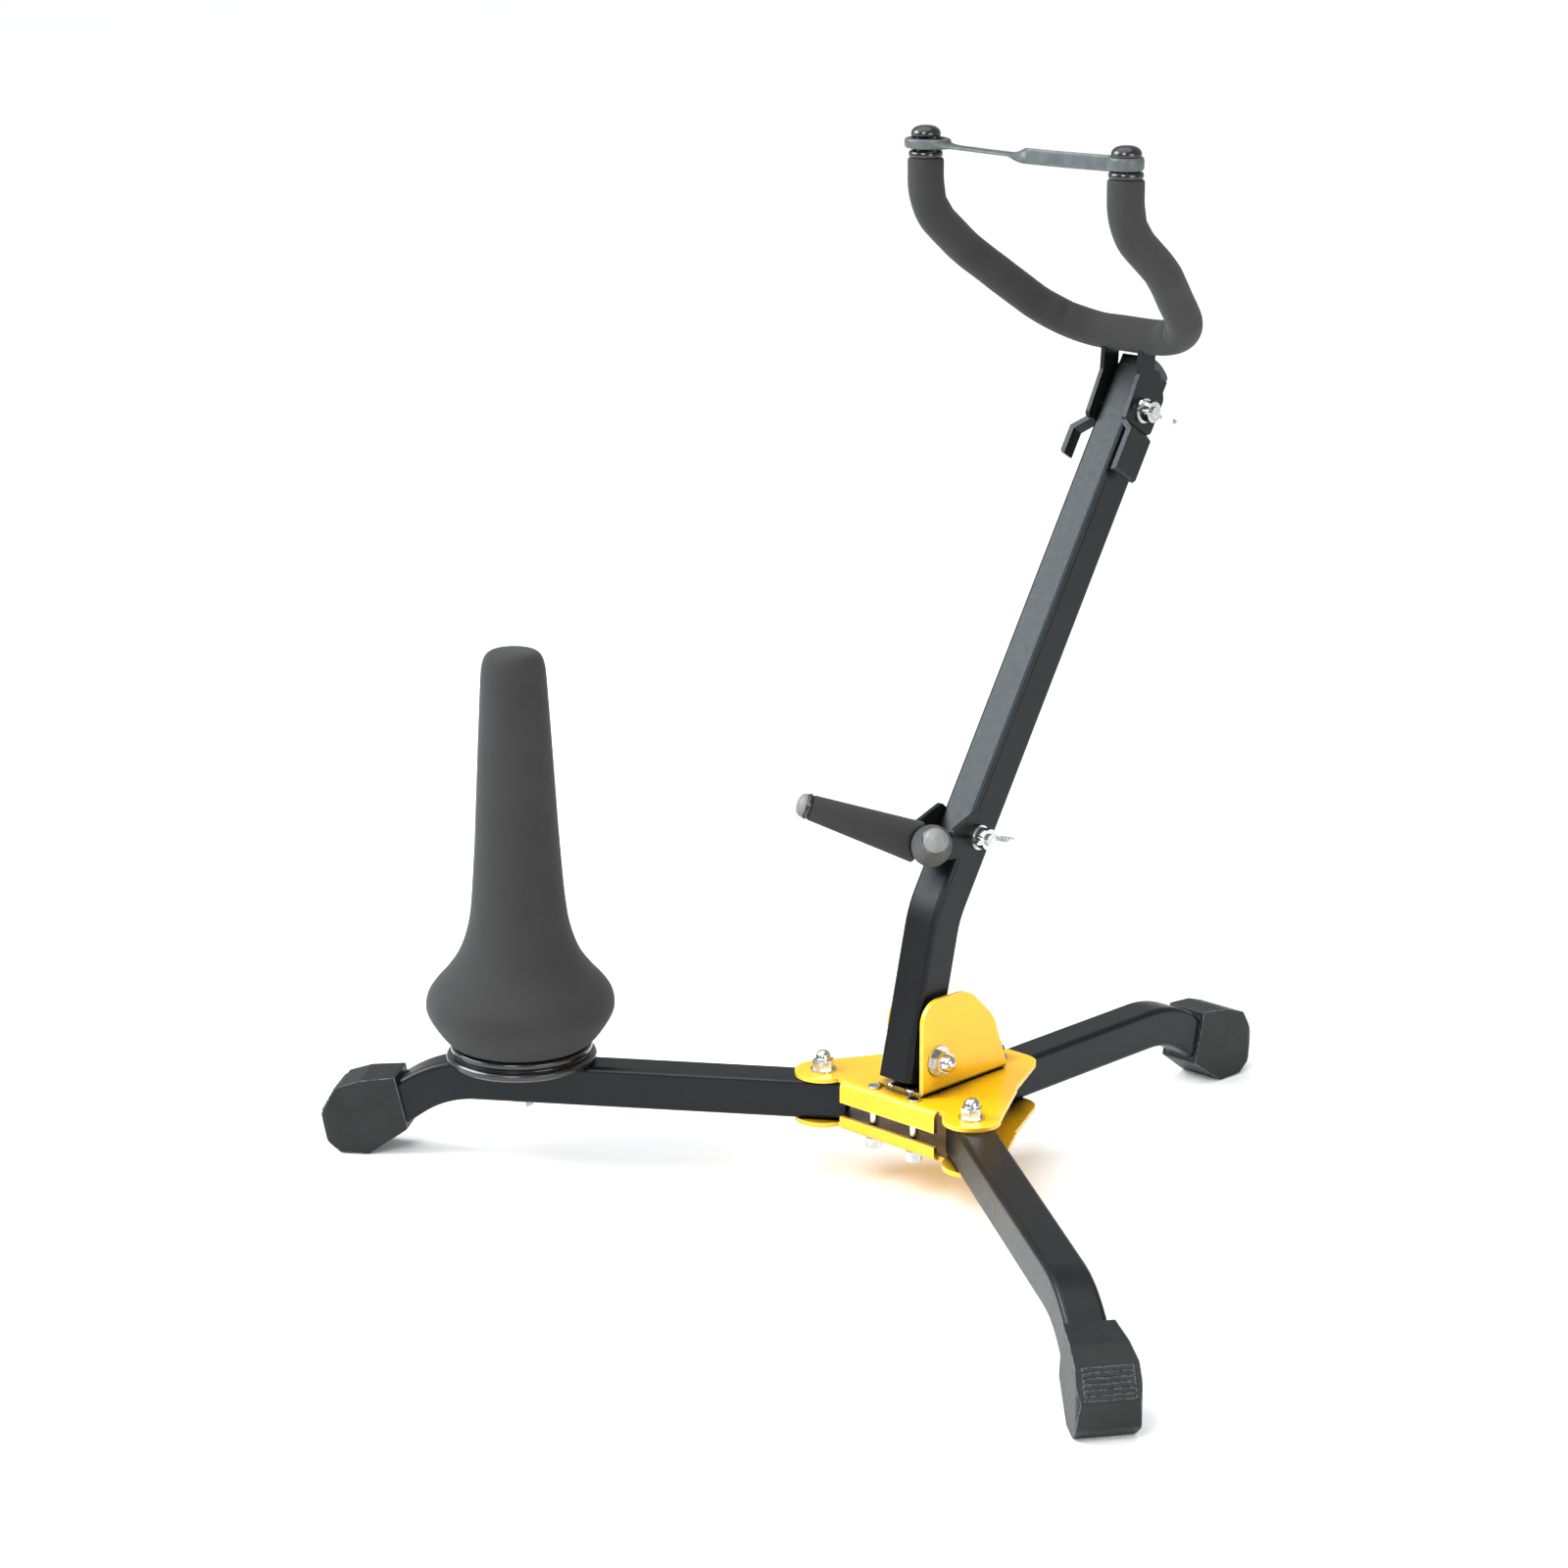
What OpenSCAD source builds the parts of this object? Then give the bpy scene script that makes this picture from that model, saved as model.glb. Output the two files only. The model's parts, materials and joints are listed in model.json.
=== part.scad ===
// Folding saxophone stand: a leaning mast with a padded yoke and a lower rest, on three flat legs,
// with a tall soprano peg standing on the left leg.
// Millimetres. +Z is up, the player's side is -Y, +X is the stand's right seen from the front.
// The floor is Z = 0 and the origin is the centre of the footprint's bounding box.

/* [Base] */
// Width of a leg tube
leg_w = 20.5; // [18:0.5:22]
// Height of a leg tube
leg_h = 22; // [20:0.5:23]
// Height of the leg tubes' centre above the floor
leg_z = 43.5; // [42:0.5:46]
// Angle between each front leg and straight ahead
leg_spread = 55; // [50:1:60]
// Front leg from its pivot to the start of its bend
front_run = 186; // [170:2:200]
// Back leg from its bolt to the start of its bend
back_run = 120.5; // [110:0.5:130]
// Sideways distance of a front leg pivot from the centre
pivot_x = 52; // [50:0.5:56]
// Thickness of the stamped hub plates
plate_t = 2.4; // [2:0.1:2.6]

/* [Mast] */
// Width of the mast tube across the stand
mast_w = 21; // [20:0.5:22]
// Depth of the mast tube, front to back
mast_d = 22; // [20:0.5:22]
// Lean of the lower mast from upright
lower_lean = 13.5; // [12:0.5:15]
// Lean of the upper mast from upright
upper_lean = 31.6; // [29:0.1:33]
// Straight length from the mast pivot to the start of the bend
lower_run = 66; // [60:1:70]
// Straight length from the end of the bend to the open top
upper_run = 297; // [273:1:300]

/* [Yoke] */
// Diameter of the yoke's foam sleeve
foam_d = 18.6; // [16:0.2:20]
// Half length of the yoke's flat base
yoke_flat = 14; // [14:0.5:18]
// Rise of the yoke's arms above level
yoke_rise = 38.6; // [36:0.2:41]
// Straight length of each yoke arm between its two side bends
yoke_arm = 36.5; // [32:0.5:40]

/* [Lower rest] */
// Angle of each rest arm away from straight ahead
rest_spread = 41; // [40:1:46]
// Rise of the rest arms above level
rest_rise = 26; // [22:1:28]
// Length of each rest arm
rest_arm = 62; // [56:1:66]

/* [Peg] */
// Distance of the peg from the left leg's pivot
peg_reach = 162; // [154:1:164]
// Overall height of the padded peg above its base
peg_h = 223; // [190:1:230]
// Diameter of the flare near the peg's foot
peg_d = 100; // [90:1:102]

/* [Hidden] */
$fn = 64;
gap = 0.05;                          // running clearance round every shaft, on the radius
bolt_r = 3;
tube_wall = 1.5;
lap = 0.3;                           // how far a swept tube's straights run into its bends
swell = 0.01;                        // a bend's walls are this much thicker, to take them in

leg_bottom = leg_z - leg_h / 2;
leg_top = leg_z + leg_h / 2;
low_plate_z = leg_bottom - 0.1 - plate_t;
top_plate_z = leg_top + 0.1;
hub_top = top_plate_z + plate_t;

front_y = -11;                       // the front leg pivots
back_y = 65.5;                       // the back leg's bolt
flange_y = -18.5;                    // outer face of the hub's front flanges
leg_tail = 13;                       // tube behind each leg bolt
leg_bend_r = 60;
leg_bend = 35;
leg_tip = 20;                        // tube beyond the bend, inside the foot

bracket_t = 2.3;
ear_gap = 13.5;                      // half the gap between the mast bracket's ears
mast_pivot = [3.6, hub_top + 18];
mast_ahead = 4;                      // the mast's centre line runs this far ahead of its pivot
mast_foot = 13.4;
mast_bend_r = 52;
mast_bend = upper_lean - lower_lean;
mast_above = 22;                     // the mast's open top, above the yoke bolt
mast_open = upper_run - mast_above;  // the yoke bolt, from the end of the bend
mast_low = 35;                       // the rest bolt, from the end of the bend
bolt_ahead = 5.5;                    // both clamp bolts lie ahead of the mast's centre line

cheek_x = mast_w / 2 + 0.5;          // inner face of the yoke and rest brackets
cheek_t = 2.5;
yoke_base = [15.8, 34.9];            // yoke rod ahead of and above its bolt, square to the mast
yoke_neck = [6, 16];                 // where the cheeks start to narrow towards the rod
rod_r = 3.5;
yoke_corner_r = 40;
yoke_corner = 72.3;
yoke_side_r = 59;
yoke_tip_r = 31.5;
yoke_tip = 10;
yoke_up = 14.5;                      // straight run between the side bend and the tip bend

rest_base = 17;                      // the rest bracket's web, ahead of the rest bolt
rest_drop = 12.3;                    // the rest arms lie this far below the rest bolt
rest_rod_r = 4;

// The footprint's centre lies behind the hub's centre; the whole stand moves forward by this.
toe = 83.4;
foot_half = 13.83;
front_edge = front_y - (front_run + toe) * cos(leg_spread) - foot_half * sin(leg_spread);
back_edge = back_y + back_run + toe;
footprint = [0, -(front_edge + back_edge) / 2, 0];

yellow = [0.93, 0.65, 0.05];
black = [0.05, 0.05, 0.06];
steel = [0.78, 0.78, 0.76];
foam = [0.16, 0.16, 0.17];
rubber = [0.35, 0.36, 0.37];

function unit(v) = v / norm(v);
function turned(v, a) = [v[0] * cos(a) - v[1] * sin(a), v[0] * sin(a) + v[1] * cos(a)];

// ---- general shapes ----

// A convex polygon whose corners are true arcs; radii gives one radius for each corner.
module rounded(points, radii) {
    n = len(points);
    corners = [for (i = [0:n - 1])
        let (p = points[i],
             back = unit(points[(i + n - 1) % n] - p),
             ahead = unit(points[(i + 1) % n] - p),
             half = acos(back * ahead) / 2,
             reach = radii[i] / tan(half))
        [p + back * reach, p + ahead * reach, p + unit(back + ahead) * radii[i] / sin(half)]];
    polygon([for (c = corners) each [c[0], c[1]]]);
    for (i = [0:n - 1])
        translate(corners[i][2])
            circle(radii[i]);
}

module rounded_box(size, r) {
    x = size[0] / 2;
    y = size[1] / 2;
    rounded([[-x, -y], [x, -y], [x, y], [-x, y]], [r, r, r, r]);
}

// Carries its 2-D section along +X. Each move is [straight, bend radius, bend angle, roll first].
// Straights run on into the bends by lap, where the section draws its walls thicker by $swell.
module sweep(moves, i = 0) {
    if (i < len(moves)) {
        run = moves[i][0];
        r = moves[i][1];
        angle = moves[i][2];
        rotate([moves[i][3], 0, 0]) {
            start = i > 0 ? -lap : 0;
            end = angle > 0 ? run + lap : run;
            if (run > 0)
                translate([start, 0, 0])
                    rotate([90, 0, 90])
                        linear_extrude(end - start)
                            let ($swell = 0)
                                children();
            translate([run, 0, 0]) {
                if (angle > 0)
                    translate([0, r, 0])
                        rotate(-90)
                            rotate_extrude(angle = angle)
                                translate([r, 0])
                                    let ($swell = swell)
                                        children();
                translate([r * sin(angle), r * (1 - cos(angle)), 0])
                    rotate(angle)
                        sweep(moves, i + 1)
                            children();
            }
        }
    }
}

// Section of a hollow rectangular tube, for sweep.
module tube_section(size) {
    difference() {
        rounded_box(size + [2, 2] * $swell, 3);
        rounded_box(size - [2, 2] * (tube_wall + $swell), 1.5);
    }
}

// Draws in the stand's side view: x runs to the back, y runs up, thickness is across the stand.
module side_on(thickness) {
    rotate([90, 0, 90])
        linear_extrude(thickness, center = true)
            children();
}

module ring(outer, inner) {
    difference() {
        circle(outer);
        circle(inner);
    }
}

module washer(outer, inner, h) {
    linear_extrude(h)
        ring(outer, inner);
}

module both_sides() {
    children();
    mirror([1, 0, 0])
        children();
}

// Domed nut standing on Z = 0, its blind bore a running fit on the bolt.
module domed_nut(r, h) {
    difference() {
        union() {
            cylinder(h = h * 0.5, r = r / cos(30), $fn = 6);
            translate([0, 0, h * 0.5])
                cylinder(h = h * 0.12, r = r * 0.86);
            intersection() {
                translate([0, 0, h - r * 0.86])
                    sphere(r * 0.86);
                translate([0, 0, h * 0.6])
                    cylinder(h = h, r = r);
            }
        }
        translate([0, 0, -1])
            cylinder(h = h * 0.6 + 1, r = bolt_r + gap);
    }
}

// Wing nut standing on Z = 0 with its wings along X.
module wing_nut() {
    difference() {
        union() {
            cylinder(h = 8, r = 5.5);
            cylinder(h = 2, r = 6.5);
            for (side = [-1, 1])
                translate([side * 4, 0, 0])
                    rotate([90, 0, 0])
                        linear_extrude(2.2, center = true)
                            rounded([[0, 1], [side * 3, 1], [side * 11.5, 9], [side * 10, 14],
                                     [side * 6, 13]],
                                    [0.3, 1, 2.4, 1.8, 1.8]);
        }
        translate([0, 0, -1])
            cylinder(h = 16, r = bolt_r + gap);
    }
}

// ---- frames ----

// A leg's own frame: +X runs out along the tube from its bolt.
module at_leg(x, y, heading) {
    translate([x, y, 0])
        rotate(heading)
            children();
}

module at_left_leg() {
    at_leg(-pivot_x, front_y, -90 - leg_spread)
        children();
}

module at_right_leg() {
    at_leg(pivot_x, front_y, -90 + leg_spread)
        children();
}

module at_back_leg() {
    at_leg(0, back_y, 90)
        children();
}

// Places things on the three leg bolts.
module at_leg_bolts() {
    for (p = [[-pivot_x, front_y], [pivot_x, front_y], [0, back_y]])
        translate(p)
            children();
}

mast_dir = [sin(upper_lean), cos(upper_lean)];
lower_dir = [sin(lower_lean), cos(lower_lean)];
lower_ahead = turned(lower_dir, 90);
upper_ahead = turned(mast_dir, 90);
bend_start = mast_pivot + lower_ahead * mast_ahead + lower_dir * lower_run;
bend_centre = bend_start - lower_ahead * mast_bend_r;
bend_end = bend_centre + upper_ahead * mast_bend_r;
yoke_bolt = bend_end + mast_dir * mast_open + upper_ahead * bolt_ahead;
rest_bolt = bend_end + mast_dir * mast_low + upper_ahead * bolt_ahead;

// At a bolt through the upper mast: +Y faces ahead, square to the mast, and +Z runs up along it.
module on_mast(p) {
    translate([0, p[0], p[1]])
        rotate([-upper_lean, 0, 0])
            rotate(180)
                children();
}

// At the yoke rod's middle: +X out to the side, +Y up along the arms' slope.
module at_yoke() {
    on_mast(yoke_bolt)
        translate([0, yoke_base[0], yoke_base[1]])
            rotate([yoke_rise - upper_lean, 0, 0])
                children();
}

// At the rest bolt: +Y ahead along the arms' slope.
module at_rest() {
    on_mast(rest_bolt)
        rotate([rest_rise - upper_lean, 0, 0])
            children();
}

// ---- hub ----

module hub_outline() {
    x = pivot_x;
    polygon([[-x, flange_y + 3.5], [x, flange_y + 3.5], [x + 14.5, front_y + 4], [40, 38], [-40, 38],
             [-x - 14.5, front_y + 4]]);
    rounded([[-41, 34], [41, 34], [19, 80], [-19, 80]], [4, 4, 13, 13]);
    for (side = [-1, 1])
        translate([side * x, front_y])
            circle(15);
}

// Stamped plate with its front edge folded down towards -Z by drop; the plate's top is Z = 0.
module hub_plate(drop) {
    bend_r = 3.5;
    difference() {
        translate([0, 0, -plate_t])
            linear_extrude(plate_t)
                hub_outline();
        at_leg_bolts()
            cylinder(h = 20, r = bolt_r + gap, center = true);
        for (side = [-1, 1])
            translate([side * 14, -12.5, 0])
                cylinder(h = 20, r = 2 + gap, center = true);
    }
    translate([-33, flange_y + bend_r, -bend_r])
        rotate([180, -90, 0])
            plate_bend(bend_r, 66);
    translate([-33, flange_y, -drop])
        cube([66, plate_t, drop - bend_r]);
}

// Quarter bend of the plate: a quarter ring of outside radius r, drawn out along +Z.
module plate_bend(r, length) {
    linear_extrude(length)
        intersection() {
            ring(r, r - plate_t);
            square(r);
        }
}

module hub_top_plate() {
    color(yellow)
        difference() {
            translate([0, 0, hub_top])
                hub_plate(11.6);
            at_rivets()
                cylinder(h = 20, r = 2 + gap, center = true);
        }
}

module hub_bottom_plate() {
    color(yellow)
        translate([0, 0, low_plate_z])
            mirror([0, 0, 1])
                hub_plate(7.6);
}

// Two shouldered pins that hold the hub plates apart behind the front flanges.
module hub_spacers() {
    color(steel)
        for (side = [-1, 1])
            translate([side * 14, -12.5, 0]) {
                translate([0, 0, low_plate_z + plate_t])
                    cylinder(h = top_plate_z - low_plate_z - plate_t, r = 2.6);
                translate([0, 0, low_plate_z - 2])
                    cylinder(h = hub_top - low_plate_z + 3, r = 2);
                translate([0, 0, low_plate_z - 5.5])
                    cylinder(h = 5.5, r = 4.6, $fn = 6);
                translate([0, 0, hub_top])
                    cylinder(h = 1.2, r = 3.2);
            }
}

module ear_outline(front) {
    z = hub_top;
    rounded([[front, z - 1], [58.5, z - 1], [47, z + 31.5], [27, z + 51], [front, z + 51]],
            [0.5, 0.5, 24, 20, 12]);
}

// U-shaped bracket on the hub: two tall ears hold the mast's pivot bolt between them.
module mast_bracket() {
    x = ear_gap + bracket_t;
    color(yellow)
        difference() {
            intersection() {
                translate([0, -10, hub_top])
                    rotate([90, 0, 0])
                        mirror([0, 0, 1])
                            linear_extrude(67)
                                difference() {
                                    rounded([[-x, 0], [x, 0], [x, 60], [-x, 60]], [3, 3, 1, 1]);
                                    rounded([[-ear_gap, bracket_t], [ear_gap, bracket_t],
                                             [ear_gap, 70], [-ear_gap, 70]],
                                            [1, 1, 1, 1]);
                                }
                union() {
                    translate([x, 0, 0])
                        side_on(2 * x)
                            ear_outline(-8);
                    translate([-x, 0, 0])
                        side_on(2 * x)
                            ear_outline(3);
                    translate([-x, -8, hub_top - 1])
                        cube([2 * x, 20, 1 + bracket_t]);
                }
            }
            translate([0, mast_pivot[0], mast_pivot[1]])
                rotate([0, 90, 0])
                    cylinder(h = 60, r = bolt_r + gap, center = true);
            at_rivets()
                cylinder(h = 20, r = 2 + gap, center = true);
        }
}

module at_rivets() {
    for (p = [[-6.5, -6.6], [6.5, -6.6], [-6.5, 50], [6.5, 50]])
        translate([p[0], p[1], hub_top])
            children();
}

module bracket_rivets() {
    color(steel)
        at_rivets() {
            translate([0, 0, -plate_t - 0.08])
                cylinder(h = plate_t + bracket_t + 0.08, r = 2);
            translate([0, 0, bracket_t])
                cylinder(h = 1, r1 = 3, r2 = 2.2);
        }
}

module leg_pivot_bolts() {
    color(steel)
        at_leg_bolts() {
            translate([0, 0, low_plate_z])
                cylinder(h = hub_top - low_plate_z + 6, r = bolt_r);
            translate([0, 0, low_plate_z - 4.2])
                cylinder(h = 4.2, r = 5.7, $fn = 6);
        }
}

module leg_pivot_nuts() {
    color(steel)
        at_leg_bolts()
            translate([0, 0, hub_top]) {
                washer(6.8, bolt_r + gap, 1);
                translate([0, 0, 1])
                    domed_nut(5, 10);
            }
}

// ---- mast pivot ----

module mast_pivot_bolt() {
    x = ear_gap + bracket_t;
    color(steel)
        translate([-x, mast_pivot[0], mast_pivot[1]])
            rotate([0, 90, 0]) {
                cylinder(h = 2 * x + 6, r = bolt_r);
                translate([0, 0, -4])
                    cylinder(h = 4, r = 5.7, $fn = 6);
            }
}

module mast_pivot_nut() {
    color(steel)
        translate([ear_gap + bracket_t, mast_pivot[0], mast_pivot[1]])
            rotate([0, 90, 0]) {
                washer(8, bolt_r + gap, 1);
                translate([0, 0, 1])
                    domed_nut(5.2, 10);
            }
}

// Flanged nylon bushes: each barrel fills a hole in the mast's side, its flange runs on an ear.
module mast_pivot_bushes() {
    color([0.85, 0.85, 0.82])
        both_sides()
            translate([mast_w / 2 - tube_wall, mast_pivot[0], mast_pivot[1]])
                rotate([0, 90, 0]) {
                    washer(4.5, bolt_r + gap, tube_wall);
                    translate([0, 0, tube_wall])
                        washer(7, bolt_r + gap, ear_gap - mast_w / 2 - 0.05);
                }
}

// ---- legs ----

function leg_moves(run) = [[leg_tail + run, leg_bend_r, leg_bend, -90], [leg_tip, 0, 0, 0]];

module leg_path(run) {
    translate([-leg_tail, 0, leg_z])
        sweep(leg_moves(run))
            children();
}

module leg_tube(run) {
    color(black)
        difference() {
            leg_path(run)
                tube_section([leg_h, leg_w]);
            translate([0, 0, leg_bottom - 1])
                cylinder(h = leg_h + 2, r = bolt_r + gap);
        }
}

module left_leg_tube() {
    at_left_leg()
        difference() {
            leg_tube(front_run);
            translate([peg_reach, 0, leg_bottom - 1])
                cylinder(h = leg_h + 2, r = bolt_r + gap);
        }
}

module right_leg_tube() {
    at_right_leg()
        leg_tube(front_run);
}

module back_leg_tube() {
    at_back_leg()
        leg_tube(back_run);
}

// Sleeve that keeps the bolt from crushing the hollow tube.
module leg_bush() {
    color([0.85, 0.85, 0.82])
        translate([0, 0, leg_bottom + tube_wall])
            washer(5, bolt_r + gap, leg_h - 2 * tube_wall);
}

module left_leg_bush() {
    at_left_leg()
        leg_bush();
}

module right_leg_bush() {
    at_right_leg()
        leg_bush();
}

module back_leg_bush() {
    at_back_leg()
        leg_bush();
}

// ---- feet ----

module foot_side() {
    rounded([[43, 43.8], [62, 41.5], [75, 37], [83.5, 22], [80, 7], [72, 0], [58, 0], [36.5, 15]],
            [0.8, 12, 2.5, 4, 6, 3, 3, 1.5]);
}

module foot_plan() {
    rounded([[30, -11.2], [86, -16], [86, 16], [30, 11.2]], [1, 7, 7, 1]);
}

module foot_end() {
    rounded([[-16, 0], [16, 0], [16, 46], [-16, 46]], [4, 4, 7, 7]);
}

// Boot-shaped end: a socket over the tube, a flat sole and a ribbed toe.
module foot(run) {
    color(black)
        difference() {
            translate([run, 0, 0]) {
                intersection() {
                    rotate([90, 0, 0])
                        linear_extrude(50, center = true)
                            foot_side();
                    translate([0, 0, -1])
                        linear_extrude(60)
                            foot_plan();
                    rotate([90, 0, 90])
                        linear_extrude(100)
                            foot_end();
                }
                for (i = [0:5])
                    translate([76.1 + i * 1.28, 0, 35 - i * 2.25])
                        rotate([90, 0, 0])
                            cylinder(h = 24, r = 0.9, center = true);
            }
            leg_path(run)
                rounded_box([leg_h, leg_w] + [2, 2] * (gap + $swell), 3);
        }
}

module left_foot() {
    at_left_leg()
        foot(front_run);
}

module right_foot() {
    at_right_leg()
        foot(front_run);
}

module back_foot() {
    at_back_leg()
        foot(back_run);
}

// ---- mast ----

mast_moves = [[mast_foot + lower_run, mast_bend_r, mast_bend, 0], [upper_run, 0, 0, 0]];

// Hollow rounded tube with one bend, standing at the mast pivot and leaning back.
module mast_tube() {
    color(black)
        difference() {
            mast_blank();
            translate([0, mast_pivot[0], mast_pivot[1]])
                rotate([0, 90, 0])
                    cylinder(h = 60, r = 4.5, center = true);
            for (p = [yoke_bolt, rest_bolt])
                on_mast(p)
                    rotate([0, 90, 0])
                        cylinder(h = 60, r = bolt_r + gap, center = true);
        }
}

// Plug in the mast's open top. Its head is rounded about the yoke bolt, so that the yoke's foam
// passes close over it.
module mast_plug() {
    wall = 2 * (tube_wall + gap);
    color(black)
        on_mast(yoke_bolt)
            intersection() {
                translate([0, -bolt_ahead, mast_above]) {
                    translate([0, 0, -9])
                        linear_extrude(10)
                            rounded_box([mast_w - wall, mast_d - wall], 1.5);
                    translate([0, 0, gap])
                        linear_extrude(8)
                            rounded_box([mast_w - 0.6, mast_d - 0.6], 3);
                }
                rotate([0, 90, 0])
                    cylinder(h = 60, r = 28.2, center = true);
            }
}

module mast_blank() {
    translate([0, mast_pivot[0], mast_pivot[1]])
        rotate([90 - lower_lean, 0, 0])
            rotate([-90, 0, 90])
                translate([-mast_foot, -mast_ahead, 0])
                    sweep(mast_moves)
                        tube_section([mast_d, mast_w]);
}

// ---- brackets and clamps on the mast ----

// Clamp bolt across the mast: head on the left, thread showing on the right.
module clamp_bolt() {
    x = cheek_x + cheek_t;
    color(steel)
        rotate([0, 90, 0]) {
            translate([0, 0, -x])
                cylinder(h = 2 * x + 9.5, r = bolt_r);
            translate([0, 0, -x - 3.5])
                cylinder(h = 3.5, r = 5.5);
        }
}

// Wing nut on the right-hand end of a clamp bolt, its wings turned by angle.
module clamp_nut(angle) {
    color(steel)
        translate([cheek_x + cheek_t + 0.05, 0, 0])
            rotate([angle, 0, 0])
                rotate([0, 90, 0])
                    rotate(90)
                        wing_nut();
}

module yoke_pivot_bolt() {
    on_mast(yoke_bolt)
        rotate(180)
            clamp_bolt();
}

module rest_pivot_bolt() {
    on_mast(rest_bolt)
        rotate(180)
            clamp_bolt();
}

module yoke_wing_nut() {
    on_mast(yoke_bolt)
        rotate(180)
            clamp_nut(3);
}

module rest_wing_nut() {
    on_mast(rest_bolt)
        rotate(180)
            clamp_nut(22);
}

// Tail of a yoke cheek: it steps out by step, then hangs clear of the mast down to end. It spans
// from back to front of the bolt.
module cheek_tail(back, front, step, end) {
    x = cheek_x;
    skin = 3;
    translate([0, front, 0])
        rotate([90, 0, 0])
            linear_extrude(front - back)
                polygon([[x, -7], [x + cheek_t, -7], [x + cheek_t, -9],
                         [x + step + skin, -9 - 0.8 * step], [x + step + skin, end + 1.5],
                         [x + step + skin - 1.5, end], [x + step, end],
                         [x + step, -10.5 - 0.8 * step], [x, -10.5]]);
}

// Round-ended bar from p to q.
module link(p, q, r) {
    translate(p)
        rotate(atan2(q[1] - p[1], q[0] - p[0])) {
            circle(r);
            translate([0, -r])
                square([norm(q - p), 2 * r]);
            translate([norm(q - p), 0])
                circle(r);
        }
}

// Two cheeks astride the mast's open top; the yoke rod runs through their upper ends.
module yoke_bracket() {
    color(black)
        on_mast(yoke_bolt)
            difference() {
                union() {
                    both_sides()
                        translate([cheek_x, 0, 0])
                            rotate([90, 0, 90])
                                linear_extrude(cheek_t) {
                                    rounded([[-13.5, -9], [10.5, -11], [12.5, 18], [-2, 24],
                                             [-13.5, 12]],
                                            [3, 3, 3, 6, 5]);
                                    link(yoke_neck, yoke_base, 6);
                                }
                    cheek_tail(-0.5, 7, 9, -32);
                    mirror([1, 0, 0])
                        cheek_tail(-9, 10, 5, -37);
                }
                rotate([0, 90, 0])
                    cylinder(h = 60, r = bolt_r + gap, center = true);
                translate([0, yoke_base[0], yoke_base[1]])
                    rotate([0, 90, 0])
                        cylinder(h = 60, r = rod_r + gap, center = true);
            }
}

yoke_moves = [[0, yoke_corner_r, yoke_corner, 0],
              [yoke_arm, yoke_side_r, 90 - yoke_corner, 0],
              [yoke_up, yoke_tip_r, 90 - yoke_rise, 90],
              [yoke_tip, 0, 0, 0]];

// The yoke's path: a flat base and two arms that mirror each other.
module yoke_path() {
    base = yoke_flat + lap;
    at_yoke() {
        translate([-base, 0, 0])
            rotate([90, 0, 90])
                linear_extrude(2 * base)
                    let ($swell = 0)
                        children();
        both_sides()
            translate([yoke_flat, 0, 0])
                sweep(yoke_moves)
                    children();
    }
}

module yoke_rod() {
    color(black)
        yoke_path()
            circle(rod_r + $swell);
}

module yoke_foam() {
    color(foam)
        difference() {
            yoke_path()
                circle(foam_d / 2 + 6 * $swell);
            yoke_path()
                circle(rod_r + gap + 6 * $swell);
            on_mast(yoke_bolt)
                both_sides()
                    translate([cheek_x - 0.3, 0, 0])
                        rotate([90, 0, 90])
                            linear_extrude(cheek_t + 0.6)
                                link(yoke_neck, yoke_base, 6.3);
        }
}

// Carries its children to the end of the right arm's path, +X pointing out of the rod's end.
module at_yoke_tip(i = 0) {
    if (i < len(yoke_moves)) {
        m = yoke_moves[i];
        rotate([m[3], 0, 0])
            translate([m[0] + m[1] * sin(m[2]), m[1] * (1 - cos(m[2])), 0])
                rotate(m[2])
                    at_yoke_tip(i + 1)
                        children();
    } else {
        children();
    }
}

module yoke_tip_caps() {
    color(black)
        at_yoke()
            both_sides()
                translate([yoke_flat, 0, 0])
                    at_yoke_tip()
                        rotate([0, 90, 0])
                            rotate_extrude()
                                polygon([[0, 0.05], [8, 0.05], [8.4, 1.5], [8, 3.5], [5.4, 5],
                                         [5.2, 9.5], [7.2, 11], [7.4, 12.8], [6, 14.6],
                                         [3.5, 15.6], [0, 16]]);
}

// Middle of the yoke's path beyond the rod's end, in the yoke's own frame.
function yoke_end(out) =
    let (c = yoke_corner, t = 90 - yoke_rise)
    [yoke_flat + yoke_corner_r * sin(c) + yoke_arm * cos(c) + yoke_side_r * (1 - sin(c)),
     yoke_corner_r * (1 - cos(c)) + yoke_arm * sin(c) + yoke_side_r * cos(c) + yoke_up
         + yoke_tip_r * sin(t) + (yoke_tip + out) * cos(t),
     yoke_tip_r * (1 - cos(t)) + (yoke_tip + out) * sin(t)];

// Flat rubber strap between the tips, with a ring round each cap's neck. The band leaves the
// left ring lying level and meets the right one standing on edge.
module safety_strap() {
    end = yoke_end(7.3);
    color(rubber)
        at_yoke() {
            both_sides()
                translate(end)
                    rotate([-yoke_rise, 0, 0])
                        rotate_extrude()
                            translate([8, 0])
                                circle(2.2);
            translate([0, end[1], end[2]])
                rotate([-yoke_rise, 0, 0]) {
                    translate([5, -4, -0.8])
                        cube([end[0] - 13, 8, 1.6]);
                    translate([8 - end[0], -0.8, -4])
                        cube([end[0], 1.6, 8]);
                }
        }
}

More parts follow.
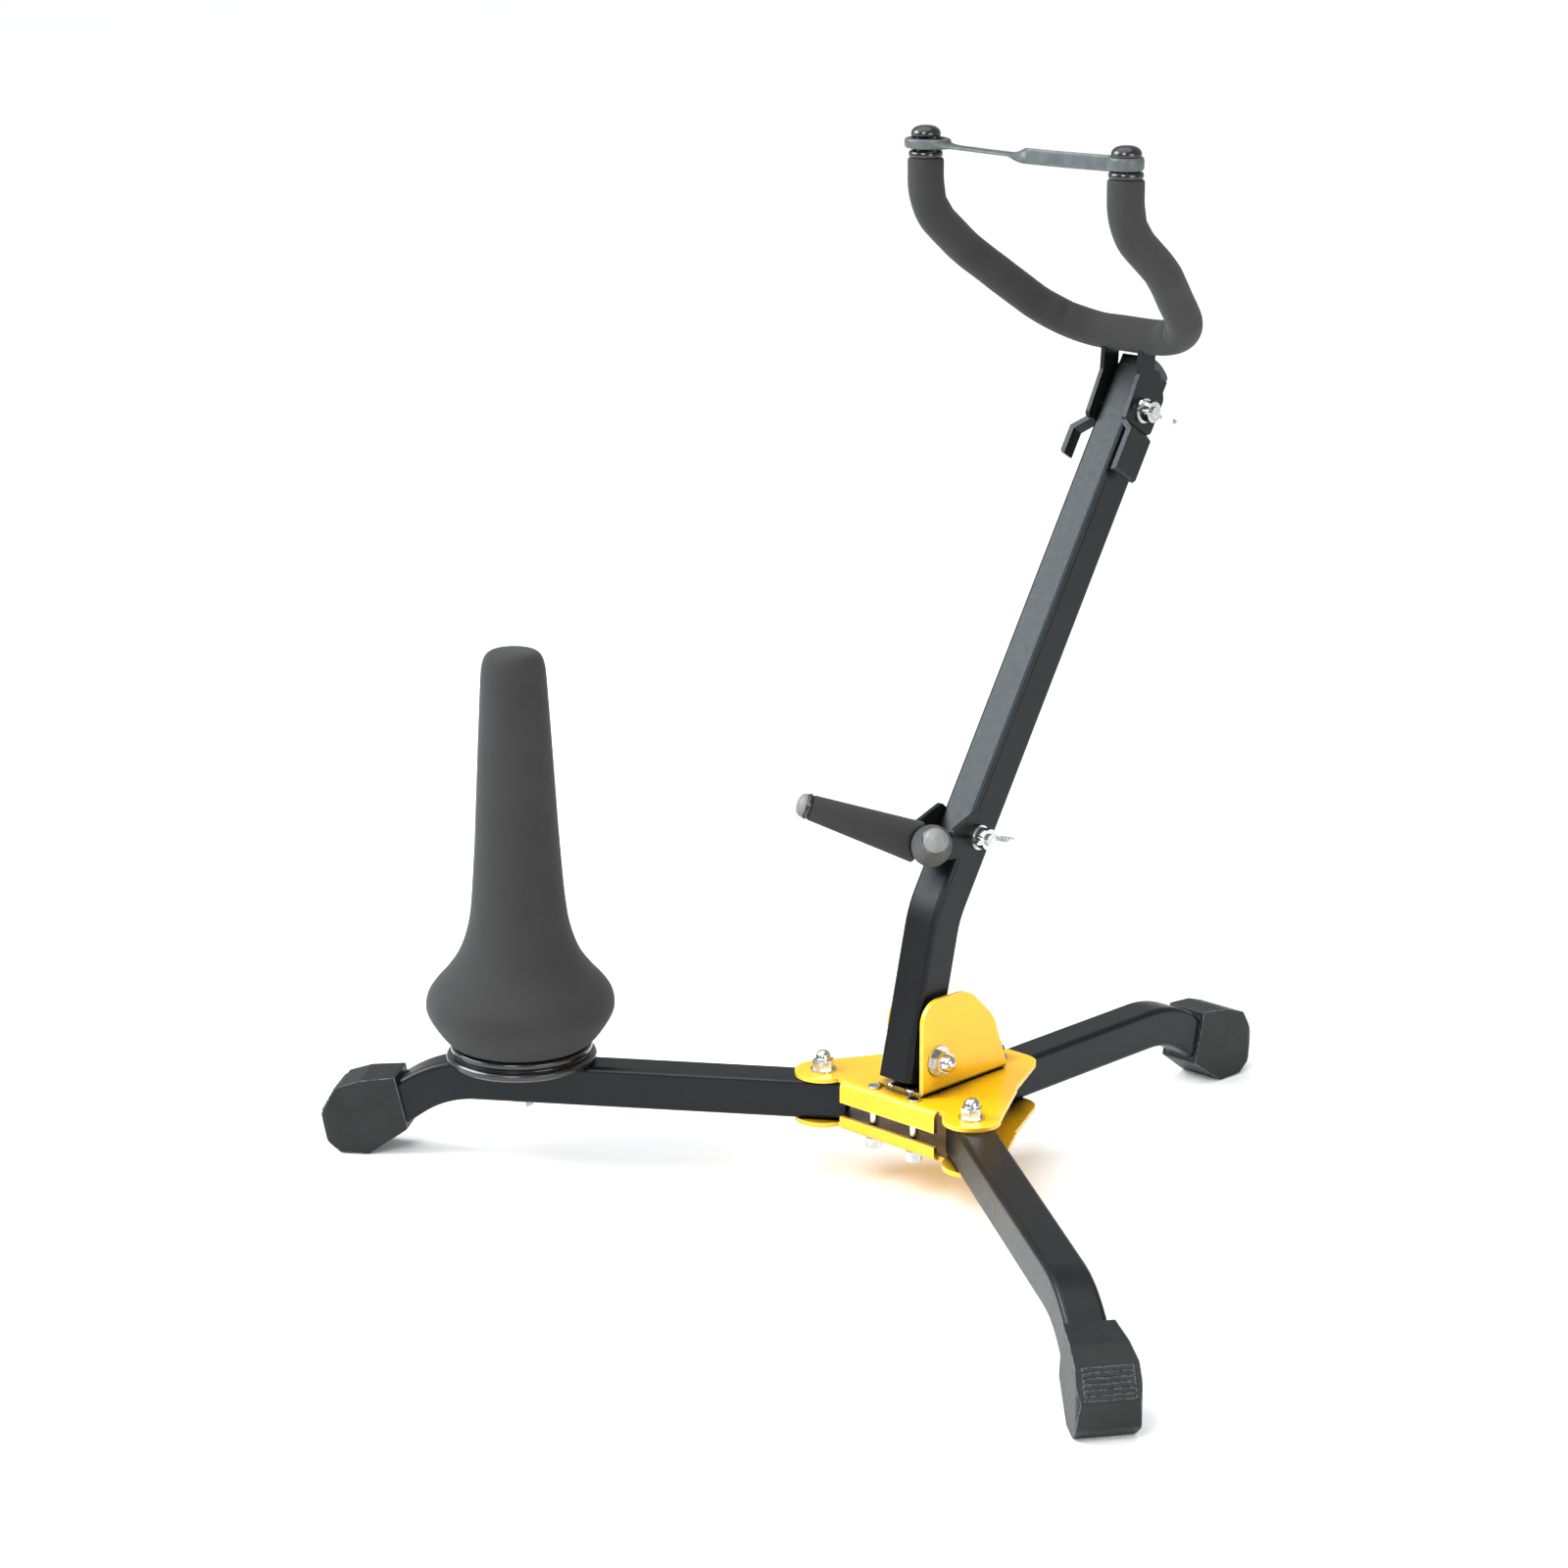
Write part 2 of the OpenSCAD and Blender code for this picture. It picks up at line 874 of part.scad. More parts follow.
// Folded bracket round the mast's front; its web carries the two rest arms.
module rest_bracket() {
    front = rest_base + cheek_t;
    color(black)
        at_rest()
            difference() {
                union() {
                    both_sides()
                        translate([cheek_x, 0, 0])
                            rotate([90, 0, 90])
                                linear_extrude(cheek_t)
                                    rounded([[-8.6, -7], [front, -17.5], [front, -1.5], [6, 12],
                                             [-8.6, 7.5]],
                                            [5, 2, 2, 3, 4]);
                    translate([-cheek_x - 1, rest_base + 0.1, -16])
                        cube([2 * cheek_x + 2, cheek_t - 0.2, 13]);
                }
                rotate([0, 90, 0])
                    cylinder(h = 60, r = bolt_r + gap, center = true);
            }
}

// Carries its children to the root of the right rest arm, +X running out along the arm.
module along_rest_arm() {
    translate([4.5, rest_base + cheek_t + rest_rod_r * sin(rest_spread), -rest_drop])
        rotate(90 - rest_spread)
            children();
}

module at_rest_arms() {
    at_rest()
        both_sides()
            along_rest_arm()
                children();
}

module rest_arms() {
    color(black)
        at_rest_arms()
            rotate([0, 90, 0])
                cylinder(h = rest_arm - 3, r = rest_rod_r);
}

// Tapered sleeves whose roots are cut flat against the bracket and against each other.
module rest_foams() {
    color(foam)
        at_rest()
            both_sides()
                difference() {
                    intersection() {
                        along_rest_arm()
                            rotate([0, 90, 0])
                                cylinder(h = rest_arm - 3, r1 = 11, r2 = 6.6);
                        translate([0.1, rest_base + cheek_t + 0.1, -60])
                            cube([100, 100, 100]);
                    }
                    along_rest_arm()
                        rotate([0, 90, 0])
                            cylinder(h = 3 * rest_arm, r = rest_rod_r + gap, center = true);
                }
}

module rest_tip_caps() {
    color([0.6, 0.6, 0.6])
        at_rest_arms()
            translate([rest_arm - 2.95, 0, 0])
                rotate([0, 90, 0])
                    rotate_extrude()
                        polygon([[0, 0], [6.6, 0], [6.8, 1.5], [6.2, 3.6], [4.6, 5.4], [2.4, 6.5],
                                 [0, 6.9]]);
}

// ---- peg ----

module at_peg() {
    at_left_leg()
        translate([peg_reach, 0, leg_top + 0.05])
            children();
}

// Stepped foot plate that spreads the peg's weight on the tube.
module peg_base() {
    color(black)
        at_peg()
            rotate_extrude()
                polygon([[bolt_r + gap, 0], [38.5, 0], [40, 1.2], [40, 3.4], [38.8, 4.6], [36.2, 4.6],
                         [36.2, 5.6], [37.6, 6.6], [37.6, 8.6], [36.6, 9.6], [bolt_r + gap, 9.6]]);
}

// Plastic core the cover is moulded on.
module peg_core() {
    s = (peg_h - 9.6) / 206;
    color([0.2, 0.2, 0.2])
        at_peg()
            translate([0, 0, 9.65])
                rotate_extrude()
                    polygon([[0, 30], [bolt_r + gap, 30], [bolt_r + gap, 0], [31.5, 0], [39.7, 20 * s],
                             [21.7, 46 * s - 0.2], [16.7, 90 * s], [9.7, 190 * s], [0, 190 * s]]);
}

function peg_profile(s) = [[32, 0], [39, 2 * s], [46, 11 * s], [49.6, 17 * s], [peg_d / 2, 21 * s],
                           [49, 26 * s], [42.3, 35 * s], [33.5, 46 * s], [28, 56 * s], [25, 70 * s],
                           [23.6, 87 * s], [22.3, 105 * s], [20.4, 139 * s], [18.4, 173 * s],
                           [16.2, 201 * s], [14, 204.6 * s], [8, 206 * s], [0, 206.4 * s]];

module peg_cover() {
    s = (peg_h - 9.6) / 206;
    color(foam)
        at_peg()
            translate([0, 0, 9.65])
                rotate_extrude()
                    polygon(concat(peg_profile(s),
                                   [[0, 190 * s + 0.3], [10, 190 * s + 0.3], [17, 90 * s],
                                    [22, 46 * s], [40, 20 * s]]));
}

module peg_screw() {
    color(steel)
        at_left_leg()
            translate([peg_reach, 0, leg_bottom - 4.05]) {
                cylinder(h = leg_h + 4.1 + 30, r = bolt_r);
                cylinder(h = 4, r = 5.7, $fn = 6);
            }
}

translate(footprint) {
    hub_top_plate();
    hub_bottom_plate();
    hub_spacers();
    mast_bracket();
    bracket_rivets();
    leg_pivot_bolts();
    leg_pivot_nuts();
    mast_pivot_bolt();
    mast_pivot_nut();
    mast_pivot_bushes();
    left_leg_tube();
    right_leg_tube();
    back_leg_tube();
    left_leg_bush();
    right_leg_bush();
    back_leg_bush();
    left_foot();
    right_foot();
    back_foot();
    mast_tube();
    mast_plug();
    yoke_bracket();
    yoke_rod();
    yoke_foam();
    yoke_tip_caps();
    safety_strap();
    yoke_pivot_bolt();
    yoke_wing_nut();
    rest_bracket();
    rest_arms();
    rest_foams();
    rest_tip_caps();
    rest_pivot_bolt();
    rest_wing_nut();
    peg_base();
    peg_core();
    peg_cover();
    peg_screw();
}
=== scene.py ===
"""The looks of a folding saxophone stand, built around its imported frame.

Metres. +Z is up, the player's side is -Y and the floor is Z = 0.
"""

import json
import math

import bpy
from mathutils import Matrix, Vector, noise


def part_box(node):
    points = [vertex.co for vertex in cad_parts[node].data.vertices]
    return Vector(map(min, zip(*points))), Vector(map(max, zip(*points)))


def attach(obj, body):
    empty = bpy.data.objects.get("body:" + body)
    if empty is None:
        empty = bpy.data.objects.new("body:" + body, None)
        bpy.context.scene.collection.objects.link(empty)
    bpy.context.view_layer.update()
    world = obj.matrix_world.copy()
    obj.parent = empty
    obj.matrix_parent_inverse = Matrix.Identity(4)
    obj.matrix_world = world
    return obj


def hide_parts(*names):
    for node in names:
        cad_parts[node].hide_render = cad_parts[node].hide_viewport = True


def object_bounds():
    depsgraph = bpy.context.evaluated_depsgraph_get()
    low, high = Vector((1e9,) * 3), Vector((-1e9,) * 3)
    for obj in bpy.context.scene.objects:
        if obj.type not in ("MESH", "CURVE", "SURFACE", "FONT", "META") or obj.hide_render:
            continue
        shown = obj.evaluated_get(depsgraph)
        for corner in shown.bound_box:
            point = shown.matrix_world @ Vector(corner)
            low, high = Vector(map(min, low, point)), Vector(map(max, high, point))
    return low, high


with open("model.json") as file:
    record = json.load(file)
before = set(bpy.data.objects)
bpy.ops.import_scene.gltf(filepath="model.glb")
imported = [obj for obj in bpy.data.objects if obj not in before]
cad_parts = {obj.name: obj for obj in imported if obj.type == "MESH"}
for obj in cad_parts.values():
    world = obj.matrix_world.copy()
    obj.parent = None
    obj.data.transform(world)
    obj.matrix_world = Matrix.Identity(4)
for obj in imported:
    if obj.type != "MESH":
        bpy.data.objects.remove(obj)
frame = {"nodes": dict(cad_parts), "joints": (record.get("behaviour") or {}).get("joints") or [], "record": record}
cad_low, cad_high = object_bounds()

MM = 0.001
NODES = frame["nodes"]
SLOT_OF = {part["node"]: part["material_slot"] for part in frame["record"]["subparts"]}
PIVOT = {joint["name"]: Vector(joint["pos_m"]) for joint in frame["joints"]}

# The mast leans back by this much, and the yoke and the rest slope up from level by these.
UPPER_LEAN = math.radians(31.6)
YOKE_RISE = math.radians(38.6)
REST_RISE = math.radians(26)

# The yoke's rod: its middle ahead of and above its bolt, then its moves from the middle outward,
# each a straight length, a bend radius, a bend angle in degrees and a roll before them.
YOKE_BASE = Vector((0, 15.8, 34.9)) * MM
YOKE_MOVES = [
    (14 * MM, 40 * MM, 72.3, 0),
    (36.5 * MM, 59 * MM, 17.7, 0),
    (14.5 * MM, 31.5 * MM, 51.4, 90),
    (10 * MM, 0, 0, 0),
]
YOKE_ROD_R = 3.5 * MM
YOKE_FOAM_R = 9.3 * MM

# The rest's arms spread by this much each way from straight ahead. Their foam starts on the front
# of the bracket's web and ends where the caps begin, and it narrows from root to tip.
REST_ROD_R = 4 * MM
REST_SPREAD = math.radians(41)
REST_WEB = 19.5 * MM
REST_ROOT = Vector((4.5 * MM, REST_WEB + REST_ROD_R * math.sin(REST_SPREAD), -12.3 * MM))
REST_FOAM_END = 59 * MM
REST_FOAM_R = 11 * MM
REST_FOAM_TAPER = 4.4 * MM

# The small clearances round a rod and between faces that are pressed together.
ROD_GAP = 0.05 * MM
FACE_GAP = 0.1 * MM

# The caps' necks hold the strap at this distance past the rod's ends.
CAP_NECK = 7.3 * MM

SIDES = ((1, "left"), (-1, "right"))
MIRROR = Matrix.Scale(-1, 4, Vector((1, 0, 0)))


# ---- frames and curves ----

def turn(angle, axis):
    return Matrix.Rotation(angle, 4, axis)


def on_mast(point):
    """At a bolt through the upper mast: +Y faces ahead, square to the mast, and +Z runs up it."""
    return Matrix.Translation(point) @ turn(-UPPER_LEAN, "X") @ turn(math.pi, "Z")


def at_yoke():
    """At the yoke rod's middle: +X out to the side and +Y up along the arms' slope."""
    middle = on_mast(PIVOT["yoke_tilt"]) @ Matrix.Translation(YOKE_BASE)
    return middle @ turn(YOKE_RISE - UPPER_LEAN, "X")


def at_rest_arm(side):
    """At the root of a rest arm: +X runs out along the arm."""
    bolt = on_mast(PIVOT["rest_tilt"]) @ turn(REST_RISE - UPPER_LEAN, "X")
    root = Vector((side * REST_ROOT.x, REST_ROOT.y, REST_ROOT.z))
    heading = math.pi / 2 - side * REST_SPREAD
    return bolt @ Matrix.Translation(root) @ turn(heading, "Z")


def smooth_curve(points, steps):
    """A Catmull-Rom curve through 2-D points, with that many steps between neighbours."""
    ends = [points[0]] + list(points) + [points[-1]]
    curve = []
    for i in range(len(points) - 1):
        p, q, r, s = (Vector(ends[i + k]) for k in range(4))
        for k in range(steps):
            t = k / steps
            curve.append(0.5 * (2 * q + (r - p) * t + (2 * p - 5 * q + 4 * r - s) * t * t
                                + (3 * q - p - 3 * r + s) * t * t * t))
    curve.append(Vector(points[-1]))
    return curve


def walk(moves, start, step):
    """Frames along a bent rod, +X along it: (matrix, distance, pinches), where pinches holds for
    each bend its middle's distance along the rod, the direction of its inside and its angle.
    The frames don't roll with the rod, so that a skin over them isn't twisted."""
    here = start.copy()
    along = 0.0
    rolled = 0.0
    path = [(here.copy(), along)]
    pinches = []
    for straight, radius, degrees, roll in moves:
        here = here @ turn(math.radians(roll), "X")
        rolled += math.radians(roll)
        count = max(1, round(straight / step))
        for _ in range(count):
            here = here @ Matrix.Translation((straight / count, 0, 0))
            along += straight / count
            path.append((here @ turn(-rolled, "X"), along))
        angle = math.radians(degrees)
        count = round(radius * angle / step)
        for i in range(count):
            part = angle / count
            chord = 2 * radius * math.sin(part / 2)
            here = here @ turn(part / 2, "Z") @ Matrix.Translation((chord, 0, 0)) @ turn(part / 2, "Z")
            along += radius * part
            path.append((here @ turn(-rolled, "X"), along))
            if i == count // 2:
                pinches.append((along, here.to_3x3() @ Vector((0, 1, 0)), angle))
    return path, pinches


# ---- meshes ----

def new_object(name, points, faces, smooth=True):
    mesh = bpy.data.meshes.new(name)
    mesh.from_pydata([tuple(p) for p in points], [], faces)
    mesh.update()
    for face in mesh.polygons:
        face.use_smooth = smooth
    piece = bpy.data.objects.new(name, mesh)
    bpy.context.scene.collection.objects.link(piece)
    return piece


def ring_faces(rings, count, closed=False):
    """Quads between neighbouring rings of count points each."""
    faces = []
    last = rings if closed else rings - 1
    for i in range(last):
        a = i * count
        b = (i + 1) % rings * count
        for k in range(count):
            n = (k + 1) % count
            faces.append((a + k, a + n, b + n, b + k))
    return faces


def lathe(name, profile, place, count=64, wobble=0.0):
    """A closed turned solid. The profile's points are (radius, height), from axis to axis."""
    points = [place @ Vector((0, 0, profile[0][1]))]
    for radius, height in profile[1:-1]:
        for k in range(count):
            angle = 2 * math.pi * k / count
            spot = Vector((radius * math.cos(angle), radius * math.sin(angle), height))
            spot += spot.normalized() * wobble * noise.noise(spot * 60)
            points.append(place @ spot)
    points.append(place @ Vector((0, 0, profile[-1][1])))
    rings = len(profile) - 2
    faces = [tuple(1 + i for i in f) for f in ring_faces(rings, count)]
    last = len(points) - 1
    for k in range(count):
        n = (k + 1) % count
        faces.append((0, 1 + n, 1 + k))
        faces.append((last, last - count + k, last - count + n))
    return new_object(name, points, faces)


def tube(name, path, outer, inner, count=64):
    """A closed hollow sleeve along path. outer gives the radius from (index, angle, matrix)."""
    points = []
    for i, (here, _) in enumerate(path):
        for k in range(count):
            angle = 2 * math.pi * k / count
            radius = outer(i, angle, here)
            points.append(here @ Vector((0, radius * math.cos(angle), radius * math.sin(angle))))
    for here, _ in reversed(path):
        for k in range(count):
            angle = 2 * math.pi * k / count
            points.append(here @ Vector((0, inner * math.cos(angle), inner * math.sin(angle))))
    return new_object(name, points, ring_faces(2 * len(path), count, closed=True))


def soften(piece, width):
    """Rounds a stamped, cut or moulded part's sharp edges."""
    weld = piece.modifiers.new("weld", "WELD")
    weld.merge_threshold = 0.002 * MM
    bevel = piece.modifiers.new("rounded_edges", "BEVEL")
    bevel.width = width
    bevel.segments = 2
    bevel.limit_method = "ANGLE"
    bevel.angle_limit = math.radians(35)
    bevel.use_clamp_overlap = True
    normals = piece.modifiers.new("even_shading", "WEIGHTED_NORMAL")
    normals.keep_sharp = True


# ---- materials ----

class Finish:
    """A Principled material and short calls for the nodes that give it its detail."""

    def __init__(self, name, values):
        self.material = bpy.data.materials.new(name)
        self.material.use_nodes = True
        self.tree = self.material.node_tree
        self.shader = self.tree.nodes["Principled BSDF"]
        self.place = self.node("TexCoord").outputs["Object"]
        for key, value in values.items():
            self.shader.inputs[key].default_value = value

    def node(self, kind, values=None, **settings):
        """Adds a node. Each value is a number, or an output to link to that input."""
        made = self.tree.nodes.new("ShaderNode" + kind)
        for key, value in settings.items():
            setattr(made, key, value)
        for key, value in (values or {}).items():
            if isinstance(value, bpy.types.NodeSocket):
                self.tree.links.new(value, made.inputs[key])
            else:
                made.inputs[key].default_value = value
        return made

    def link(self, output, name):
        self.tree.links.new(output, self.shader.inputs[name])

    def noise(self, size, detail=3.0, roughness=0.5):
        """Cloudy noise whose blotches are about size metres across."""
        values = {"Vector": self.place, "Scale": 1 / size, "Detail": detail, "Roughness": roughness}
        return self.node("TexNoise", values).outputs["Fac"]

    def cells(self, size):
        """Distance to the nearest of scattered points about size metres apart."""
        return self.node("TexVoronoi", {"Vector": self.place, "Scale": 1 / size}).outputs["Distance"]

    def scratches(self, size):
        """Fine streaks, much longer along the object's upright axis than across it."""
        values = {"Vector": self.place, "Scale": (1 / size, 1 / size, 0.04 / size)}
        stretched = self.node("Mapping", values).outputs["Vector"]
        lines = self.node("TexNoise", {"Vector": stretched, "Scale": 1.0, "Detail": 2.0})
        return lines.outputs["Fac"]

    def span(self, value, low, high, to_low, to_high):
        """Stretches low to high onto to_low to to_high, and holds the ends beyond them."""
        values = {"Value": value, "From Min": low, "From Max": high, "To Min": to_low, "To Max": to_high}
        return self.node("MapRange", values).outputs["Result"]

    def math(self, a, b, operation):
        return self.node("Math", {0: a, 1: b}, operation=operation).outputs[0]

    def colours(self, factor, a, b):
        """From a at factor 0 to b at factor 1. Each is three numbers or another node's output."""
        made = self.node("Mix", {"Factor": factor}, data_type="RGBA")
        colour_a, colour_b, colour_out = made.inputs[6], made.inputs[7], made.outputs[2]
        for socket, colour in ((colour_a, a), (colour_b, b)):
            if isinstance(colour, bpy.types.NodeSocket):
                self.tree.links.new(colour, socket)
            else:
                socket.default_value = (*colour, 1)
        return colour_out

    def edges(self, radius):
        """Near 1 along convex and concave edges and 0 on flats."""
        soft = self.node("Bevel", {"Radius": radius}, samples=6).outputs["Normal"]
        flat = self.node("NewGeometry").outputs["Normal"]
        dot = self.node("VectorMath", {0: soft, 1: flat}, operation="DOT_PRODUCT")
        return self.span(dot.outputs["Value"], 0.995, 0.86, 0, 1)

    def painted_hollow_shade(self, reach):
        """Near 1 deep inside hollows and 0 in the open: a mask for painting shade into hollows."""
        open_sky = self.node("AmbientOcclusion", {"Distance": reach}, samples=8).outputs["AO"]
        return self.span(open_sky, 0.38, 0.62, 1, 0)

    def bump(self, height, depth, strength=1.0):
        """Relief of that depth in metres, in the shading only."""
        made = self.node("Bump", {"Height": height, "Distance": depth, "Strength": strength})
        self.link(made.outputs["Normal"], "Normal")


def hub_paint():
    """Amber gloss powder coat with a light orange peel, a painted highlight making it paler along edges, and
    painted shade making it nearly black deep inside hollows.
    """
    finish = Finish("amber_powder_coat", {
        "Coat Weight": 0.25, "Coat Roughness": 0.1, "Specular IOR Level": 0.35})
    clouded = finish.span(finish.noise(45 * MM, 2), 0.3, 0.7, 0, 1)
    body = finish.colours(clouded, (0.8, 0.43, 0.004), (0.86, 0.475, 0.006))
    # Painted highlight: every edge is coloured paler, standing in for light caught on rounded edges.
    painted_edge_highlight = finish.colours(finish.edges(0.6 * MM), body, (0.97, 0.74, 0.22))
    # Painted shade: hollows that the surrounding light hardly reaches are coloured nearly black.
    inside = finish.painted_hollow_shade(30 * MM)
    finish.link(finish.colours(inside, painted_edge_highlight, (0.012, 0.008, 0.004)), "Base Color")
    finish.link(finish.span(finish.noise(6 * MM, 5), 0.3, 0.7, 0.26, 0.34), "Roughness")
    finish.bump(finish.noise(1.1 * MM, 1), 0.012 * MM, 0.5)
    return finish.material


def black_paint():
    """Black powder coat with a fine grain and a cool sheen, scuffed a little along its edges."""
    finish = Finish("black_powder_coat", {
        "Specular IOR Level": 0.24, "Specular Tint": (0.88, 0.95, 1, 1)})
    cloudy = finish.span(finish.noise(30 * MM), 0.35, 0.65, 0, 1)
    body = finish.colours(cloudy, (0.0035, 0.0036, 0.0037), (0.005, 0.0051, 0.0053))
    patchy = finish.span(finish.noise(2 * MM, 6), 0.45, 0.62, 0, 1)
    scuffed = finish.math(finish.edges(0.7 * MM), patchy, "MULTIPLY")
    finish.link(finish.colours(scuffed, body, (0.045, 0.048, 0.05)), "Base Color")
    finish.link(finish.span(finish.noise(3 * MM, 6, 0.7), 0.3, 0.7, 0.3, 0.4), "Roughness")
    finish.bump(finish.noise(0.55 * MM, 2), 0.014 * MM, 0.6)
    return finish.material


def bright_zinc():
    """Bright plated steel, brushed by turning and faintly blue and straw in patches."""
    finish = Finish("bright_zinc", {"Metallic": 1.0})
    patches = finish.span(finish.noise(3 * MM, 4), 0.4, 0.62, 0, 1)
    finish.link(finish.colours(patches, (0.62, 0.63, 0.64), (0.5, 0.49, 0.45)), "Base Color")
    finish.link(finish.span(finish.noise(0.8 * MM, 4), 0.3, 0.7, 0.1, 0.26), "Roughness")
    finish.bump(finish.scratches(0.35 * MM), 0.01 * MM, 0.5)
    return finish.material


def nylon():
    """Natural nylon, milky and a little uneven."""
    finish = Finish("natural_nylon", {"Roughness": 0.5, "Subsurface Weight": 0.15,
                                      "Subsurface Radius": (0.002, 0.002, 0.0015)})
    milky = finish.span(finish.noise(4 * MM), 0.35, 0.65, 0, 1)
    finish.link(finish.colours(milky, (0.7, 0.69, 0.63), (0.8, 0.79, 0.74)), "Base Color")
    finish.bump(finish.noise(0.5 * MM), 0.01 * MM)
    return finish.material


def foot_rubber():
    """Moulded black elastomer: a fine spark-eroded grain, greyed where it rubs."""
    finish = Finish("moulded_foot_rubber", {"Specular IOR Level": 0.26})
    cloudy = finish.span(finish.noise(14 * MM, 4), 0.35, 0.65, 0, 1)
    body = finish.colours(cloudy, (0.0075, 0.008, 0.008), (0.011, 0.0118, 0.0118))
    patchy = finish.span(finish.noise(1.5 * MM, 5), 0.35, 0.6, 0, 1)
    rubbed = finish.math(finish.edges(0.9 * MM), patchy, "MULTIPLY")
    finish.link(finish.colours(rubbed, body, (0.2, 0.205, 0.21)), "Base Color")
    finish.link(finish.span(finish.noise(2.2 * MM, 6), 0.3, 0.7, 0.38, 0.52), "Roughness")
    finish.bump(finish.noise(0.35 * MM, 2, 0.6), 0.02 * MM, 0.7)
    return finish.material


def foam():
    """Dark grey closed-cell foam: a matt skin with fine open pores and faint handling marks."""
    finish = Finish("closed_cell_foam", {"Roughness": 0.85, "Specular IOR Level": 0.25,
                                         "Sheen Weight": 0.06, "Sheen Roughness": 0.5})
    cloudy = finish.span(finish.noise(30 * MM, 3), 0.3, 0.7, 0, 1)
    body = finish.colours(cloudy, (0.0235, 0.0225, 0.0225), (0.0275, 0.0265, 0.0265))
    pores = finish.span(finish.cells(0.5 * MM), 0.0, 0.3, 0, 1)
    finish.link(finish.colours(pores, (0.015, 0.0145, 0.0145), body), "Base Color")
    skin = finish.math(pores, finish.noise(0.9 * MM, 4), "ADD")
    finish.bump(skin, 0.03 * MM, 0.6)
    return finish.material


def black_plastic():
    """Glossy black moulding with faint flow marks and fine handling scratches."""
    finish = Finish("gloss_black_moulding", {"Coat Weight": 0.25, "Coat Roughness": 0.08})
    cloudy = finish.span(finish.noise(20 * MM, 4), 0.35, 0.65, 0, 1)
    finish.link(finish.colours(cloudy, (0.006, 0.006, 0.0065), (0.009, 0.009, 0.0095)), "Base Color")
    finish.link(finish.span(finish.noise(2.5 * MM, 6, 0.7), 0.35, 0.7, 0.14, 0.28), "Roughness")
    finish.bump(finish.noise(2.4 * MM, 2), 0.008 * MM, 0.4)
    return finish.material


def grey_plastic():
    """Satin grey moulding with a fine grain, for the rest's end caps."""
    finish = Finish("grey_cap_moulding", {"Roughness": 0.42})
    cloudy = finish.span(finish.noise(6 * MM, 4), 0.35, 0.65, 0, 1)
    finish.link(finish.colours(cloudy, (0.13, 0.137, 0.132), (0.165, 0.172, 0.166)), "Base Color")
    finish.bump(finish.noise(0.5 * MM, 2), 0.012 * MM)
    return finish.material


def strap_rubber():
    """Mid-grey rubber, satin, dusted paler in patches."""
    finish = Finish("grey_strap_rubber", {"Specular IOR Level": 0.5})
    dusty = finish.span(finish.noise(5 * MM, 5), 0.35, 0.65, 0, 1)
    finish.link(finish.colours(dusty, (0.045, 0.055, 0.056), (0.07, 0.083, 0.084)), "Base Color")
    finish.link(finish.span(finish.noise(1.2 * MM, 4), 0.3, 0.7, 0.34, 0.5), "Roughness")
    finish.bump(finish.noise(0.4 * MM, 2), 0.015 * MM)
    return finish.material


def core_plastic():
    """Dull black moulding of the peg's hidden core."""
    finish = Finish("peg_core_moulding", {"Roughness": 0.5})
    cloudy = finish.span(finish.noise(8 * MM, 3), 0.35, 0.65, 0, 1)
    finish.link(finish.colours(cloudy, (0.025, 0.025, 0.026), (0.036, 0.036, 0.037)), "Base Color")
    finish.bump(finish.noise(0.8 * MM), 0.015 * MM)
    return finish.material


FINISHES = {
    "hub_paint": hub_paint(),
    "black_paint": black_paint(),
    "bright_zinc": bright_zinc(),
    "nylon": nylon(),
    "foot_rubber": foot_rubber(),
    "foam": foam(),
    "black_plastic": black_plastic(),
    "grey_plastic": grey_plastic(),
    "strap_rubber": strap_rubber(),
    "core_plastic": core_plastic(),
}

# How far each finish's parts are rounded at their edges, in millimetres.
EDGE = {"hub_paint": 0.45, "black_paint": 0.35, "bright_zinc": 0.2, "foot_rubber": 0.5,
        "black_plastic": 0.4, "nylon": 0.15, "grey_plastic": 0.2, "core_plastic": 0.3}


def dress_frame():
    """Gives every CAD node its finish and rounds its edges."""
    for name, piece in NODES.items():
        slot = SLOT_OF[name]
        for holder in piece.material_slots:
            holder.material = FINISHES[slot]
        if slot in EDGE:
            soften(piece, EDGE[slot] * MM)


def settle(piece, body, slot, nodes=()):
    """Puts a finished piece on its body with its finish, in place of CAD nodes."""
    piece.data.materials.append(FINISHES[slot])
    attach(piece, body)
    if nodes:
        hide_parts(*nodes)


# ---- rubber and caps ----

def yoke_ends():
    """Frames at the rod's two ends, left then right, with +X running out of the rod."""
    path, _ = walk(YOKE_MOVES, Matrix.Identity(4), 5 * MM)
    end = path[-1][0]
    flip_back = Matrix.Scale(-1, 4, Vector((0, 1, 0)))
    return at_yoke() @ end, at_yoke() @ MIRROR @ end @ flip_back


def add_skin(points, faces, stations, closed):
    """A skin over stations, each a centre, the section's two directions and its two half sizes."""
    count = 20
    first = len(points)
    for centre, wide, thin, half_wide, half_thin in stations:
        for k in range(count):
            angle = 2 * math.pi * k / count
            u = math.copysign(abs(math.cos(angle)) ** 0.6, math.cos(angle))
            v = math.copysign(abs(math.sin(angle)) ** 0.6, math.sin(angle))
            points.append(centre + wide * half_wide * u + thin * half_thin * v)
    skin = ring_faces(len(stations), count, closed)
    if not closed:
        last = (len(stations) - 1) * count
        skin.append(tuple(reversed(range(count))))
        skin.append(tuple(range(last, last + count)))
    faces.extend(tuple(first + i for i in face) for face in skin)


